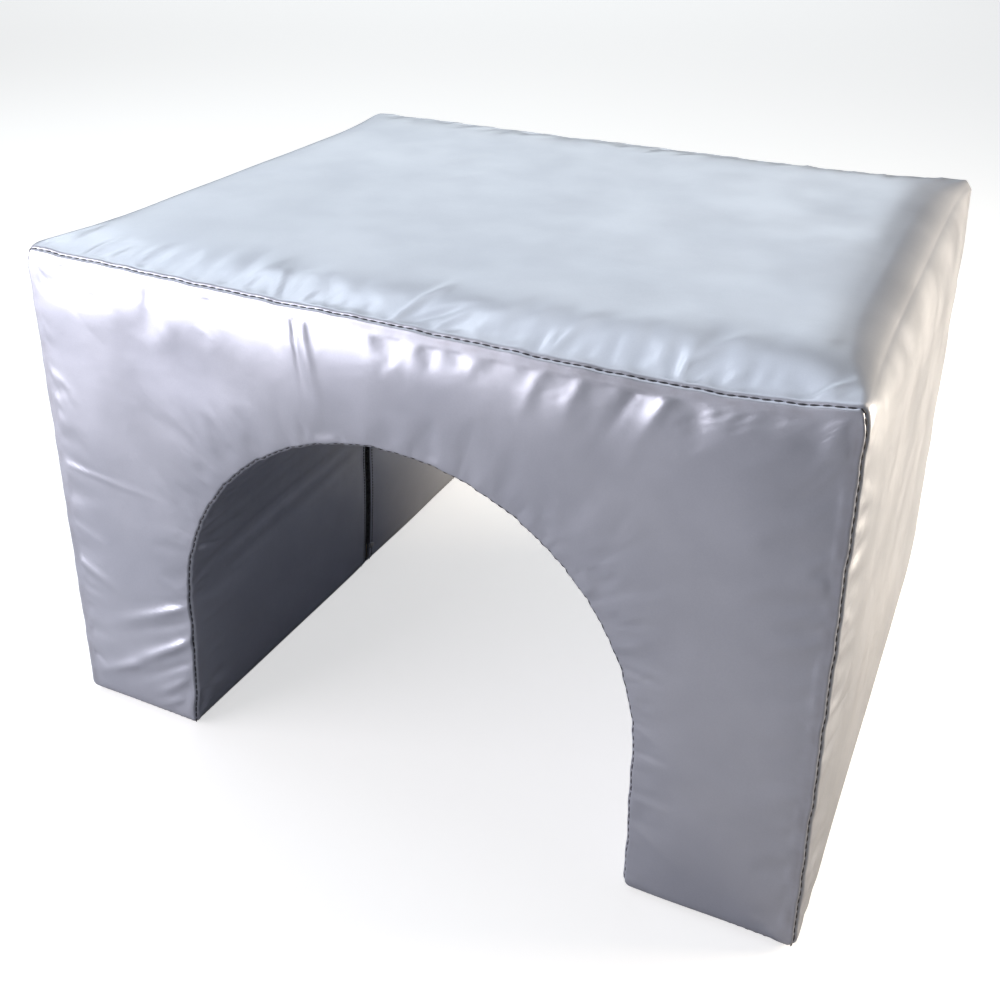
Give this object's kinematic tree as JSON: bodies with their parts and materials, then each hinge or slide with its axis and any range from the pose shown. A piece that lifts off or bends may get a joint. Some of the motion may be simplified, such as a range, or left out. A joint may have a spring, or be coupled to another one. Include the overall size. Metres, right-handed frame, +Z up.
{
  "type": "padded play arch",
  "caption": "Padded foam arch block with a round-headed tunnel through it, in a sewn, zipped vinyl cover, to crawl through, step over or vault.",
  "frame": {"origin": "on the floor, at the centre of the block's footprint", "axes": "+X across the tunnel towards the right leg, +Y along the tunnel from the front face to the back face, +Z up"},
  "size_m": [0.6, 0.5, 0.4],
  "materials": {
    "cover_vinyl": "satin",
    "foam": "matte",
    "thread": "satin",
    "zip_tape": "matte",
    "zip_coil": "satin",
    "zip_metal": "satin"
  },
  "bodies": {
    "padded_block": {"foam_core": "foam", "front_panel": "cover_vinyl", "back_panel": "cover_vinyl", "outer_strip": "cover_vinyl", "front_lining": "cover_vinyl", "back_lining": "cover_vinyl", "left_base_panel": "cover_vinyl", "right_base_panel": "cover_vinyl", "front_edge_thread": "thread", "back_edge_thread": "thread", "front_arch_thread": "thread", "back_arch_thread": "thread", "left_base_thread": "thread", "right_base_thread": "thread", "front_zip_tape": "zip_tape", "back_zip_tape": "zip_tape", "front_zip_coil": "zip_coil", "back_zip_coil": "zip_coil", "zip_topstitching": "thread", "lining_seam_thread": "thread", "top_stops": "zip_metal", "bottom_stop": "zip_metal"},
    "slider": {"zip_slider": "zip_metal"},
    "pull_tab": {"zip_pull_tab": "zip_metal"}
  },
  "joints": [
    {"name": "slider_run", "type": "hinge", "parent": "padded_block", "child": "slider", "pos_m": [0, 0.015, 0.12], "axis": [0, -1, 0], "range_deg": [0, 180]},
    {"name": "pull_tab_swing", "type": "hinge", "parent": "slider", "child": "pull_tab", "pos_m": [0.17688, 0.015, 0.12], "axis": [0, 1, 0], "range_deg": [0, 165]}
  ]
}
